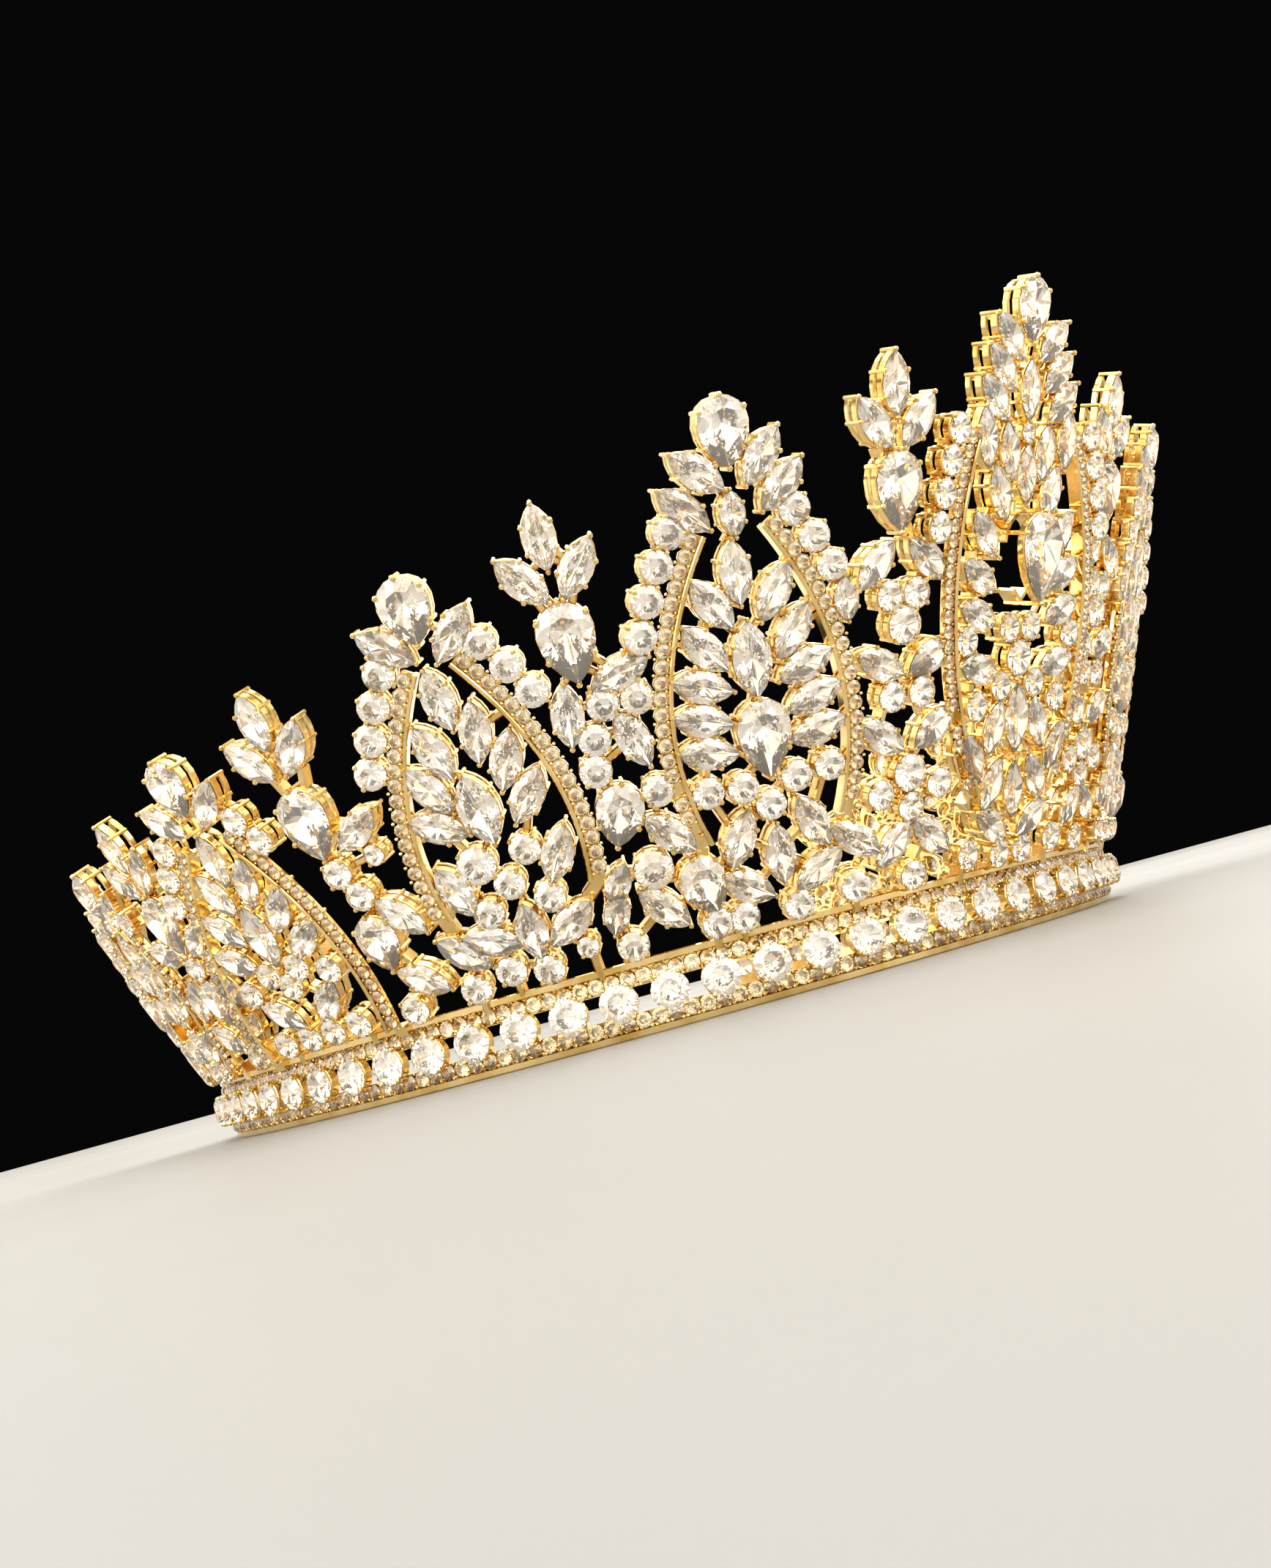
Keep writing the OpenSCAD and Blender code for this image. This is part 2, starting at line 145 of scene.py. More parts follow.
# Rows of tiny stones on the rails and on the legs: width of a stone, step to the next
RAIL_GEM = (2.08, 2.14)
LEG_GEM = (1.86, 1.94)
RAIL_GEM_SINK = 0.12
RAIL_BORDER = 1.0
RAIL_SOFT = 0.14
TROUGH = 1.15
LIP = 0.1
LIP_DEPTH = 0.3
TINY_CUP_WALL = 0.2
TINY_CUP_TAPER = 0.1
TINY_CUP_SIDES = 8

# Beads between the tiny stones; their rings are given in degrees over the middle
BEAD_SIDES = 5
BEAD_RINGS = (-30, 30)
RAIL_BEAD_R = 0.22
RAIL_BEAD_SINK = 0.2
RAIL_BEAD_SHARE = 0.41
LEG_BEAD_R = 0.24
LEG_BEAD_DROP = 0.08
LEG_BEAD_INSET = (0.25, 0.1)

# Stone kinds: outline, width, length, height of the girdle over the motif's back
KINDS = {
    "crest": ("pear", 6.4, 8.4, 2.9),
    "drop": ("pear", 7.0, 10.0, 2.9),
    "big": ("pear", 8.0, 12.0, 5.9),
    "low": ("pear", 6.0, 8.0, 2.9),
    "long": ("marquise", 5.0, 9.6, 2.9),
    "leaf": ("marquise", 4.0, 8.0, 2.9),
    "bud": ("marquise", 3.2, 5.6, 2.9),
    "r5": ("round", 5.0, 5.0, 2.9),
    "r4": ("round", 4.0, 4.0, 2.9),
    "r3": ("round", 2.8, 2.8, 2.9),
    "band": ("round", 5.0, 5.0, 3.2),
}
MAIN_KINDS = ("crest", "drop", "big", "low", "long")

# Places of the prongs along each outline, counted in its points
PRONGS = {
    "round": (1.5, 5.5, 9.5, 13.5),
    "marquise": (0, 2.6, 5.4, 8, 10.6, 13.4),
    "pear": (1.3, 4, 6.7, 9.7, 12, 14.3),
    "big": (0.8, 4, 7.2, 12),
    "band": (1.9, 5.1, 9.9, 13.1),
}

# Arches, with the columns named here
ARCH_COLUMNS = ("angle", "crest", "half_width", "widest", "bend", "foot", "top", "front", "back", "flanks",
                "fan", "crest_x")
ARCHES = {
    "arch_0": (0, 75.2, 15.6, 38, 55, 11, 59.5, 4, 4, 3, 27, 0),
    "arch_1": (26.7, 62.8, 12.6, 27.5, 38, 13, 51.8, 3, 4, 0, 22, 0.6),
    "arch_2": (49.6, 51.8, 11.4, 20.5, 36.5, 12.7, 44.9, 3, 4, 0, 22, -0.6),
    "arch_3": (75.3, 42, 13.6, 8, 37, 0.5, 34, 2, 3, 1, 18, 0),
    "arch_4": (99, 35.2, 9.2, 13, 30, 2, 28.5, 1, 3, 1, 13, 0),
}
# Finials between the arches: angle from the front, height of the top leaf, drop of the pear under it
FINIALS = {
    "finial_1": (13.3, 65.8, 13),
    "finial_2": (39.8, 55.6, 13),
    "finial_3": (64.4, 45.4, 14.6),
    "finial_4": (87.2, 38.6, 13),
    "finial_5": (111, 28.6, 13),
}
# An arch's flanking leaves, and a finial's side leaves
FLANK_X = (4.7, 6.2, 7.5)
FLANK_DROP = 3.7
FLANK_STEP = 3.9
FLANK_LEAN = 48
TREFOIL_X = 3.35
TREFOIL_DROP = 4.5
TREFOIL_LEAN = 38
# How far below a finial's side leaves its field of leaves ends
TREFOIL_MARGIN = 1

# Stones of each motif: kind, distance from the middle line toward the crown's front, height over the band,
# lean of the upper tip toward the front in degrees. Stones that stand alone:
SINGLES = {
    "arch_0": (
        ("leaf", 0, 65, 0), ("r3", 0, 59.5, 0), ("leaf", 0, 54.1, 0), ("big", 0, 43.2, 0), ("r5", 0, 29.6, 0),
        ("long", 0, 21.4, 0), ("leaf", 0, 11.4, 0)),
    "arch_1": (
        ("leaf", -3.5, 58.7, -50), ("leaf", -5.8, 54.6, -46), ("leaf", 4.8, 59.3, 38),
        ("leaf", 6.9, 55.6, 46), ("bud", 0.2, 53.2, 0), ("leaf", -0.5, 46.2, 0), ("bud", 13.3, 40.3, 2),
        ("long", 0, 35.4, 0),
        ("drop", 0.2, 25.2, 0), ("r4", -0.3, 16.7, 0), ("leaf", 0, 10, 0), ("low", -10.5, 8.3, -18),
        ("leaf", 10.4, 9.4, -51), ("r4", -6, 2.9, 0), ("r4", 1.6, 2.6, 0)),
    "arch_2": (
        ("leaf", -4.6, 48.3, -48), ("leaf", 3.7, 47.6, 45), ("leaf", -0.7, 40.4, -6),
        ("leaf", -3.7, 34.4, -18), ("leaf", 2.2, 35.4, 12), ("leaf", -5.9, 30, -30),
        ("leaf", 4.6, 30.9, 26), ("leaf", -6.5, 25.1, -62), ("leaf", 5.6, 25.9, 40), ("long", -0.9, 25.9, -6),
        ("r5", -3.7, 19, 0), ("r4", 2.9, 19.4, 0), ("r4", -0.5, 15.5, 0), ("leaf", -7.4, 16.4, -22),
        ("leaf", 6.6, 17.6, 30), ("r4", -4.4, 12.4, 0), ("r4", 3.8, 12.4, 0), ("leaf", 0, 8.6, 0),
        ("leaf", -5.3, 8.8, -70), ("leaf", -9.3, 8.2, -48), ("leaf", 5.2, 8.3, 56), ("r4", -4.4, 4.2, 0),
        ("r4", 0.4, 3, 0), ("r3", 6.2, 4.6, 0), ("r4", -9.6, 3, 0)),
    "arch_3": (
        ("leaf", 0, 31, 0), ("long", 0, 19, 0), ("r4", 0, 11, 0)),
    "arch_4": (
        ("leaf", 0, 24.8, 0), ("leaf", 0, 14.4, 0), ("r4", 0, 8.4, 0)),
    "finial_1": (
        ("r5", 0, 36, 0), ("r5", 0, 16.6, 0), ("r4", 0, 12, 0), ("r4", 0, 2.6, 0)),
    "finial_2": (
        ("leaf", 5, 37.5, 74), ("r4", 2.1, 34.2, 0), ("leaf", -2.4, 34, 7), ("r4", 6.3, 34, 0),
        ("r4", 0, 30.3, 0), ("leaf", 4.6, 29.2, -17), ("r4", -0.9, 26.4, 0), ("low", 0.5, 20.2, 18),
        ("r4", 5.9, 22, 0), ("leaf", 6, 16.2, -42), ("r5", 2.8, 12.2, 0), ("bud", -2, 11.6, 30),
        ("leaf", 2.9, 6.9, -40), ("bud", -3.1, 7.8, 20), ("r4", -2.2, 3, 0)),
    "finial_3": (
        ("leaf", 6.3, 28.2, 62), ("r3", 7, 24.4, 0), ("r4", 0.6, 23.5, 0), ("r4", 2.2, 19.8, 0),
        ("leaf", 6.4, 15.6, -40), ("low", 1.4, 12.9, 0), ("leaf", 5, 6.4, -56), ("r4", 1.4, 2.6, 0)),
    "finial_4": (
        ("r4", 0, 18.3, 0), ("low", 0, 12.2, 0), ("r4", 0, 2.6, 0)),
    "finial_5": (
        ("r4", 0, 7.6, 0), ("r4", 0, 2.6, 0)),
}
# Stones that come in mirrored pairs, with the same columns
PAIRS = {
    "arch_0": (
        ("leaf", 8.9, 58.6, 10), ("leaf", 3.9, 57, 12), ("leaf", 5.6, 51.6, 22), ("leaf", 8.4, 46.2, 42),
        ("leaf", 9.4, 40.8, 62), ("leaf", 9.4, 35.8, 72), ("leaf", 8.8, 28.6, 80), ("r4", 11.6, 32.4, 0),
        ("r4", 2.4, 33.8, 0), ("r4", 3.8, 26, 0), ("leaf", 5, 20.4, -22), ("r4", 9, 23.6, 0),
        ("leaf", 9.3, 16.6, 30), ("leaf", 5, 12.6, -28), ("leaf", 4.6, 6.9, 58), ("r4", 2.6, 2.6, 0),
        ("r4", 9.6, 3.4, 0)),
    "arch_1": (
        ("leaf", 4.1, 43, 34), ("leaf", 5.8, 37.8, 39), ("leaf", 6.8, 33.3, 70), ("leaf", 7.4, 29.1, 72),
        ("leaf", 7.3, 24.9, 78), ("r4", 3.6, 19.6, 0), ("r4", 8.2, 20, 0), ("leaf", 5, 13.2, -25),
        ("leaf", 4.9, 6.8, 58), ("r4", 9.6, 3, 0)),
    "arch_2": (),
    "arch_3": (
        ("leaf", 3.2, 26.6, 24), ("leaf", 5.8, 21.6, 44), ("r4", 3, 13.4, 0), ("leaf", 7.2, 16.8, 60),
        ("leaf", 4.6, 7.4, 50), ("r4", 8.2, 11.6, 0), ("r4", 2.4, 3, 0), ("r4", 7.6, 3, 0)),
    "arch_4": (
        ("leaf", 3.4, 20.4, 26), ("leaf", 5.2, 14.8, 52), ("leaf", 4.2, 6.6, 54), ("r4", 2.2, 2.4, 0)),
    "finial_1": (
        ("leaf", 4.1, 44, -46), ("r4", 2.1, 39.9, 0), ("leaf", 4, 31.4, 64), ("r4", 2.4, 27, 0),
        ("leaf", 4.2, 22, 56), ("r4", 4.8, 14.4, 0), ("leaf", 3.1, 7.6, -46)),
    "finial_2": (),
    "finial_3": (),
    "finial_4": (
        ("leaf", 5.2, 22, 66), ("leaf", 5.3, 13.6, -30), ("leaf", 3.9, 6.6, 50)),
    "finial_5": (
        ("leaf", 5, 11, 60), ("leaf", 4.2, 5.4, 40)),
}


# The chart, read as the solids read it
def arch_of(name):
    return dict(zip(ARCH_COLUMNS, ARCHES[name]))


def mirrored(rows):
    return [(kind, -x, s, -lean) for kind, x, s, lean in rows]


def leg_x(arch, s):
    return arch["half_width"] - (s - arch["widest"]) ** 2 / (2 * arch["bend"])


def leg_along(arch, s):
    slope = -(s - arch["widest"]) / arch["bend"]
    return np.array([slope, 1]) / hypot(slope, 1)


def leg_point(arch, s, out):
    along = leg_along(arch, s)
    return np.array([leg_x(arch, s) + out * along[1], s - out * along[0]])


def side_stones(arch, count):
    rows = []
    s = arch["top"] - SIDE_STONE_START
    for _ in range(count):
        x, y = leg_point(arch, s, SIDE_STONE_OUT)
        rows.append(("r4", x, y, 0))
        s -= SIDE_STONE_STEP * leg_along(arch, s)[1]
    return rows


def motif_rows(name):
    pairs = list(PAIRS[name])
    if name in ARCHES:
        arch = arch_of(name)
        flanks = [("leaf", FLANK_X[k], arch["crest"] - FLANK_DROP - FLANK_STEP * k, FLANK_LEAN)
                  for k in range(arch["flanks"])]
        rows = [("crest", arch["crest_x"], arch["crest"], 0)] + flanks + mirrored(flanks)
        rows += side_stones(arch, arch["front"]) + mirrored(side_stones(arch, arch["back"]))
    else:
        _, top, pear_drop = FINIALS[name]
        side = [("leaf", TREFOIL_X, top - TREFOIL_DROP, TREFOIL_LEAN)]
        rows = [("leaf", 0, top, 0)] + side + mirrored(side) + [("drop", 0, top - pear_drop, 0)]
    return rows + list(SINGLES[name]) + pairs + mirrored(pairs)


def units():
    """Each motif where it stands: its name in the chart, its name on the crown, its angle and its stones"""
    for name in list(ARCHES) + list(FINIALS):
        angle = (ARCHES if name in ARCHES else FINIALS)[name][0]
        if angle == 0:
            yield name, name, 0, motif_rows(name)
        else:
            yield name, name + "_left", -angle, motif_rows(name)
            yield name, name + "_right", angle, mirrored(motif_rows(name))


def leaf_floor(name):
    """The height over which a motif's leaves belong to a field of leaves"""
    if name in ARCHES:
        return arch_of(name)["fan"]
    return FINIALS[name][1] - TREFOIL_DROP - TREFOIL_MARGIN


def is_field_leaf(name, row):
    return row[0] == "leaf" and row[2] > leaf_floor(name)


# Places, as matrices in millimetres
def moved(x, y, z):
    return Matrix.Translation((x, y, z))


def turned(angle, axis):
    return Matrix.Rotation(radians(angle), 4, axis)


def motif_place(angle):
    return turned(angle, "Z") @ moved(0, -MOTIF_R, BAND_H) @ turned(90 + LEAN_OUT, "X")


def row_place(row):
    return moved(row[1], row[2], 0) @ turned(-row[3], "Z")


def band_place(angle, radius, z):
    return turned(angle, "Z") @ moved(0, -radius, z) @ turned(90, "X")


# Shapes: an array of points and an array of triangles
def joined(shapes):
    starts = np.cumsum([0] + [len(points) for points, _ in shapes])
    points = np.concatenate([points for points, _ in shapes])
    corners = np.concatenate([corners + start for (_, corners), start in zip(shapes, starts)])
    return points, corners


def put(shape, place):
    place = np.array(place)
    return shape[0] @ place[:3, :3].T + place[:3, 3], shape[1]


def outward(shape):
    points, corners = shape
    a, b, c = (points[corners[:, i]] for i in range(3))
    volume = np.einsum("ij,ij->", a, np.cross(b, c))
    return points, corners if volume > 0 else corners[:, ::-1]


def skin(rings, wrap=False):
    """Joins rings of equally many points; wrap joins the last to the first, else both ends are closed"""
    rings = np.asarray(rings, float)
    count, around = rings.shape[:2]
    corners = []
    for j in range(count if wrap else count - 1):
        low = j * around
        high = (j + 1) % count * around
        for i in range(around):
            k = (i + 1) % around
            corners.append((low + i, low + k, high + k))
            corners.append((low + i, high + k, high + i))
    if not wrap:
        last = (count - 1) * around
        for i in range(1, around - 1):
            corners.append((0, i + 1, i))
            corners.append((last, last + i, last + i + 1))
    return outward((rings.reshape(-1, 3), np.array(corners)))


def at_height(points, z):
    return np.column_stack([points, np.full(len(points), z)])


def circle(radius, sides, start=0.0):
    turn = 2 * pi * (np.arange(sides) + start) / sides
    return radius * np.column_stack([np.cos(turn), np.sin(turn)])


def bead(radius, sides=6, heights=(-45, 0, 45)):
    """A small ball, smooth shaded"""
    rings = [at_height(circle(radius * cos(radians(h)), sides), radius * sin(radians(h))) for h in heights]
    points = np.concatenate([[[0, 0, -radius]], *rings, [[0, 0, radius]]])
    top = len(points) - 1
    last = top - sides
    corners = []
    for i in range(sides):
        k = (i + 1) % sides
        corners.append((0, 1 + k, 1 + i))
        corners.append((top, last + i, last + k))
        for j in range(len(heights) - 1):
            low = 1 + j * sides
            corners.append((low + i, low + k, low + sides + k))
            corners.append((low + i, low + sides + k, low + sides + i))
    return outward((points, np.array(corners)))


def outline_of(kind, sides=SIDES):
    """A stone's outline, counterclockwise"""
    form, w, l, _ = KINDS[kind]
    if form == "round":
        return circle(w / 2, sides, 0.5)
    if form == "marquise":
        arc = (l * l + w * w) / (4 * w)
        reach = asin(l / 2 / arc)
        t = 2 * reach * np.arange(sides // 2) / (sides // 2) - reach
        right = arc * np.column_stack([np.cos(t), np.sin(t)]) - [arc - w / 2, 0]
        return np.concatenate([right, -right])
    r = w / 2
    mid = l / 2 - r
    rise = l - r
    arc = (r * r + rise * rise) / (2 * r)
    reach = asin(rise / arc)
    quarter = sides // 4
    head = circle(r, sides)[:2 * quarter + 1] + [0, mid]
    t = reach * np.arange(1, quarter) / quarter
    flank = np.column_stack([r - arc + arc * np.cos(t), mid - arc * np.sin(t)])
    return np.concatenate([head, flank * [-1, 1], [[0, -l / 2]], flank[::-1]])


def culet_of(kind):
    form, w, l, _ = KINDS[kind]
    return np.array([0, (l - w) / 2 if form == "pear" else 0])


def grown(points, amount):
    """The outline with every side moved outward by that much"""
    ahead = np.roll(points, -1, 0) - points
    ahead /= np.linalg.norm(ahead, axis=1)[:, None]
    normal = np.column_stack([ahead[:, 1], -ahead[:, 0]])
    both = normal + np.roll(normal, 1, 0)
    return points + 2 * amount * both / (both ** 2).sum(1)[:, None]


def brilliant(outline, width, culet):
    """A full cut: table, stars, kites, upper and lower girdle facets, pavilion mains; z = 0 is the girdle"""
    n = len(outline)
    m = n // 2
    crown = CROWN_SHARE * width
    pavilion = PAVILION_SHARE * width

    def toward(points, share, z):
        return at_height(culet + share * (points - culet), z)

    parts = [
        toward(outline[::2], TABLE_SHARE, crown),
        toward(outline[1::2], STAR_REACH, crown * STAR_HEIGHT),
        at_height(outline, GIRDLE_T / 2),
        at_height(outline, -GIRDLE_T / 2),
        toward(outline[1::2], LOWER_REACH, -pavilion * LOWER_DEPTH),
        at_height(culet[None, :], -pavilion)]
    table, star, upper, lower, low, tip = np.cumsum([0] + [len(p) for p in parts])[:6]
    corners = [(table, table + k, table + k + 1) for k in range(1, m - 1)]
    for k in range(m):
        after, before = (k + 1) % m, (k - 1) % m
        corners += [
            (table + k, star + k, table + after),
            (table + k, star + before, upper + 2 * k),
            (table + k, upper + 2 * k, star + k),
            (star + k, upper + 2 * k, upper + 2 * k + 1),
            (star + k, upper + 2 * k + 1, upper + 2 * after),
            (low + k, lower + 2 * k + 1, lower + 2 * k),
            (low + k, lower + 2 * after, lower + 2 * k + 1),
            (tip, low + k, lower + 2 * k),
            (tip, lower + 2 * k, low + before)]
    for i in range(n):
        k = (i + 1) % n
        corners += [(upper + i, lower + i, lower + k), (upper + i, lower + k, upper + k)]
    return outward((np.concatenate(parts), np.array(corners)))


def tiny_stone(width):
    outline = circle(width / 2, SIDES)
    return brilliant(outline, width, np.zeros(2))


def stone(kind):
    outline = grown(outline_of(kind), STONE_GROWTH)
    return put(brilliant(outline, KINDS[kind][1], culet_of(kind)), moved(0, 0, KINDS[kind][3]))


def collar(outline, measures, low):
    """A ring of metal with a bevelled edge; measures are its distance outward, thickness and height"""
    out, thick, height = measures
    high = low + height
    inner = out - thick
    shoulder = high - COLLAR_BEVEL
    profile = ((inner, low), (out, low), (out, shoulder), (out - COLLAR_BEVEL, high), (inner, high))
    return skin([at_height(grown(outline, far), z) for far, z in profile], wrap=True)


def part_collar(outline, measures, low, first, last):
    """The stretch of such a ring between two of the outline's points"""
    out, thick, height = measures
    profile = ((out - thick, low), (out, low), (out, low + height), (out - thick, low + height))
    rings = [at_height(grown(outline, far), z) for far, z in profile]
    return skin([[ring[i % len(outline)] for ring in rings] for i in range(first, last + 1)])


def between(points, place):
    """The point that lies so far along an outline, counted in its points"""
    i = floor(place)
    share = place - i
    return points[i % len(points)] * (1 - share) + points[(i + 1) % len(points)] * share


def prong(outline, place, girdle, radius):
    """A post outside the girdle that ends in a bead over the stone's edge"""
    foot = between(grown(outline, GALLERY[0]), place)
    head = between(grown(outline, STONE_GROWTH + PRONG_OUT), place)
    sides = circle(radius * PRONG_POST_SHARE, PRONG_SIDES)
    post = skin([at_height(sides + foot, PRONG_FOOT), at_height(sides + foot, girdle - PRONG_BEND),
                 at_height(sides * PRONG_TIP_SHARE + head, girdle)])
    return joined([post, put(bead(radius), moved(head[0], head[1], girdle + PRONG_BEAD_LIFT))])


def tiny_cup(radius, low, high):
    """The short open cup of a tiny stone"""
    inner = radius - TINY_CUP_WALL
    rings = ((inner, low), (radius - TINY_CUP_TAPER, low), (radius, high), (inner, high))
    return skin([at_height(circle(r, TINY_CUP_SIDES), z) for r, z in rings], wrap=True)


def setting(kind):
    """An open setting: base ring, gallery ring under the girdle, and prongs"""
    form, width, _, girdle = KINDS[kind]
    outline = outline_of(kind)
    if kind == "band":
        parts = [collar(outline, BAND_GALLERY, girdle - GALLERY_DROP - BAND_GALLERY[2])]
    else:
        parts = [collar(outline, GALLERY, girdle - GALLERY_DROP - GALLERY[2])]
    if kind == "big":
        parts += [part_collar(outline, BIG_COLLAR, 0, first, last) for first, last in BIG_STRETCHES]
    elif kind != "band":
        parts.append(collar(outline, BASE_RING, 0))
    radius = next(radius for limit, radius in PRONG_RADII if width < limit)
    places = PRONGS[kind if kind in PRONGS else form]
    parts += [prong(outline, place, girdle, radius) for place in places]
    return joined(parts)


def box_bar(p, q, width, low, high):
    """A straight bar from p to q with bevelled top edges"""
    p, q = np.array(p, float), np.array(q, float)
    along = (q - p) / np.linalg.norm(q - p)
    side = np.array([-along[1], along[0]])
    half = width / 2
    edge = half - BAR_BEVEL
    shoulder = high - BAR_BEVEL
    profile = ((-half, low), (half, low), (half, shoulder), (edge, high), (-edge, high), (-half, shoulder))
    return skin([[(*(end + side * out), z) for out, z in profile] for end in (p, q)])


# Small bars that tie the settings together
def nearest_lower(point, rows):
    below = [r for r in rows if r[2] < point[1] - LOWER_BY]
    return min(below, key=lambda r: hypot(r[1] - point[0], r[2] - point[1]))


def touching(row, other):
    reach = (KINDS[row[0]][1] + KINDS[other[0]][1]) / 2 * TOUCH_SHARE + CUP_WALL
    return hypot(row[1] - other[1], row[2] - other[2]) < reach


def wall_distance(row, toward):
    """How far a setting's wall is from its stone's middle in a direction"""
    points = row_outline(row) - [row[1], row[2]]
    ahead = np.roll(points, -1, 0) - points
    normal = np.column_stack([ahead[:, 1], -ahead[:, 0]])
    facing = normal @ toward
    reach = (normal * points).sum(1)[facing > 1e-6] / facing[facing > 1e-6]
    return reach.min()


def row_outline(row, sides=SIDES):
    turn = radians(-row[3])
    spin = np.array([[cos(turn), sin(turn)], [-sin(turn), cos(turn)]])
    return outline_of(row[0], sides) @ spin + [row[1], row[2]]


def links(rows):
    """Short low bars between settings that nearly touch, each between their nearest points"""
    outlines = [row_outline(row, 4 * SIDES) for row in rows]
    bars = []
    for i, one in enumerate(outlines):
        for j in range(i):
            other = outlines[j]
            if hypot(rows[i][1] - rows[j][1], rows[i][2] - rows[j][2]) > LINK_SEARCH:
                continue
            gaps = np.linalg.norm(one[:, None] - other[None], axis=2)
            a, b = np.unravel_index(gaps.argmin(), gaps.shape)
            if gaps[a, b] < LINK_REACH:
                toward = (other[b] - one[a]) / gaps[a, b]
                sink = LINK_SINK * toward
                bars.append(box_bar(one[a] - sink, other[b] + sink, LINK_W, BAR_LOW, LINK_TOP))
    return bars


def tie_bar(start, row, rows, width=TIE_W):
    """A bar from a setting or a leg's foot to the next setting down, or a foot into the band"""
    start = np.array(start, float)
    if start[1] < FOOT_LIMIT:
        end = np.array([start[0], CUP_WALL - FOOT_SINK])
        other = None
    else:
        other = nearest_lower(start, rows)
        if row is not None and touching(row, other):
            return []
        end = np.array([other[1], other[2]])
    toward = (end - start) / np.linalg.norm(end - start)
    if row is not None:
        start = start + toward * wall_distance(row, toward)
    if other is not None:
        end = end - toward * wall_distance(other, -toward)
    if (end - start) @ toward < TIE_LEAST:
        return []
    return [box_bar(start, end, width, BAR_LOW, TIE_TOP)]


# Legs of an arch, in the motif's own plane
def leg_sweep(arch, side, profile):
    """Sweeps a profile of distances outward and heights along a leg"""
    rings = []
    for s in np.linspace(arch["foot"], arch["top"], LEG_STEPS):
        spots = [leg_point(arch, s, out) for out, _ in profile]
        rings.append([(side * x, y, z) for (x, y), (_, z) in zip(spots, profile)])
    return skin(rings)


def leg_metal(arch, side):
    """The spine under the tiny stones' cups, and the polished rim along its inner edge"""
    outer = LEG_W / 2
    inner = -outer - RIM_STEP
    edge = inner + RIM_W
    (low, low_inset), (high, high_inset) = LEG_SPINE
    start = edge - SPINE_UNDER_RIM
    spine = ((start, low), (outer - low_inset, low), (outer - high_inset, high), (start, high))
    shoulder = RIM_TOP - RIM_CHAMFER
    rim = ((inner, RIM_LOW), (edge, RIM_LOW), (edge, shoulder), (edge - RIM_CHAMFER, RIM_TOP),
           (inner + RIM_CHAMFER, RIM_TOP), (inner, shoulder))
    return [leg_sweep(arch, side, profile) for profile in (spine, rim)]


def leg_gem_spots(arch, side):
    """Places of the row of tiny stones along a leg, and of the beads between them"""
    width, step = LEG_GEM
    outer = LEG_W / 2
    inner = RIM_W - RIM_STEP - outer
    middle = (inner + outer) / 2
    inner_inset, outer_inset = LEG_BEAD_INSET
    s = arch["top"] - width / 2
    gems, beads = [], []
    while s > arch["foot"] + width / 2:
        x, y = leg_point(arch, s, middle)
        gems.append((side * x, y))
        s -= step / 2 * leg_along(arch, s)[1]
        for out in (inner + inner_inset, outer - outer_inset):
            x, y = leg_point(arch, s, out)
            beads.append((side * x, y))
        s -= step / 2 * leg_along(arch, s)[1]
    return gems, beads


# Band
def rail_radius(z):
    return BAND_R + BAND_FLARE * z / BAND_H


def band_sweep(profile):
    """Sweeps a profile of depths under the band's outer face and heights along the band"""
    rings = []
    for angle in np.linspace(-BAND_HALF_ARC, BAND_HALF_ARC, BAND_STEPS):
        turn = radians(angle - 90)
        rings.append([((rail_radius(z) - deep) * cos(turn), (rail_radius(z) - deep) * sin(turn), z)
                      for deep, z in profile])
    return skin(rings)


def rail(low, high, border_low, border_high):
    """A rail: a back wall, a polished border, and a thin lip on the side of the windows"""
    lip_low, lip_high = (high - LIP, high) if border_low == low else (low, low + LIP)
    back = ((RAIL_T, low), (TROUGH, low), (TROUGH, high), (RAIL_T, high))
    border = ((TROUGH, border_low), (RAIL_SOFT, border_low), (0, border_low + RAIL_SOFT),
              (0, border_high - RAIL_SOFT), (RAIL_SOFT, border_high), (TROUGH, border_high))
    lip = ((TROUGH, lip_low), (LIP_DEPTH, lip_low), (LIP_DEPTH, lip_high), (TROUGH, lip_high))
    return [band_sweep(profile) for profile in (back, border, lip)]


def band_rows():
    """Matrices of the tiny stones on both rails and of the beads between them"""
    width, step = RAIL_GEM
    gems, beads = [], []
    for low, high in ((RAIL_BORDER, LOWER_RAIL_H), (BAND_H - UPPER_RAIL_H, BAND_H - RAIL_BORDER)):
        middle = (low + high) / 2
        radius = rail_radius(middle)
        turn_step = degrees(step / radius)
        count = int(2 * BAND_HALF_ARC / turn_step)
        start = -(count - 1) / 2 * turn_step
        for i in range(count):
            angle = start + i * turn_step
            gems.append(band_place(angle, radius - RAIL_GEM_SINK, middle))
            for end in (-1, 1):
                spot = middle + end * (high - low) * RAIL_BEAD_SHARE
                beads.append(band_place(angle + turn_step / 2, radius - RAIL_BEAD_SINK, spot))
    return gems, beads


# Materials. The scales of their noise count patches in a metre, and depths are in metres
PATCH_SCALE = 260
MARK_SCALE = 1900
MARK_STRENGTH = 0.12
MARK_DEPTH = 0.00004
# Roughness between the polishing marks and on them, as shares of the mean
MARK_ROUGHNESS = (0.7, 1.5)
# Scale of the random zones in which the stones carry painted reflection of the gold around them
PAINTED_REFLECTION_SCALE = 90
FLOOR_SCALE = 6
FLOOR_ROUGHNESS = 0.5
FLOOR_PREVIEW = (0.62, 0.6, 0.57)
FLOOR_TONES = ((0.3, (0.283, 0.286, 0.291)), (0.7, (0.34, 0.343, 0.349)))
SHARP_ANGLE = 38


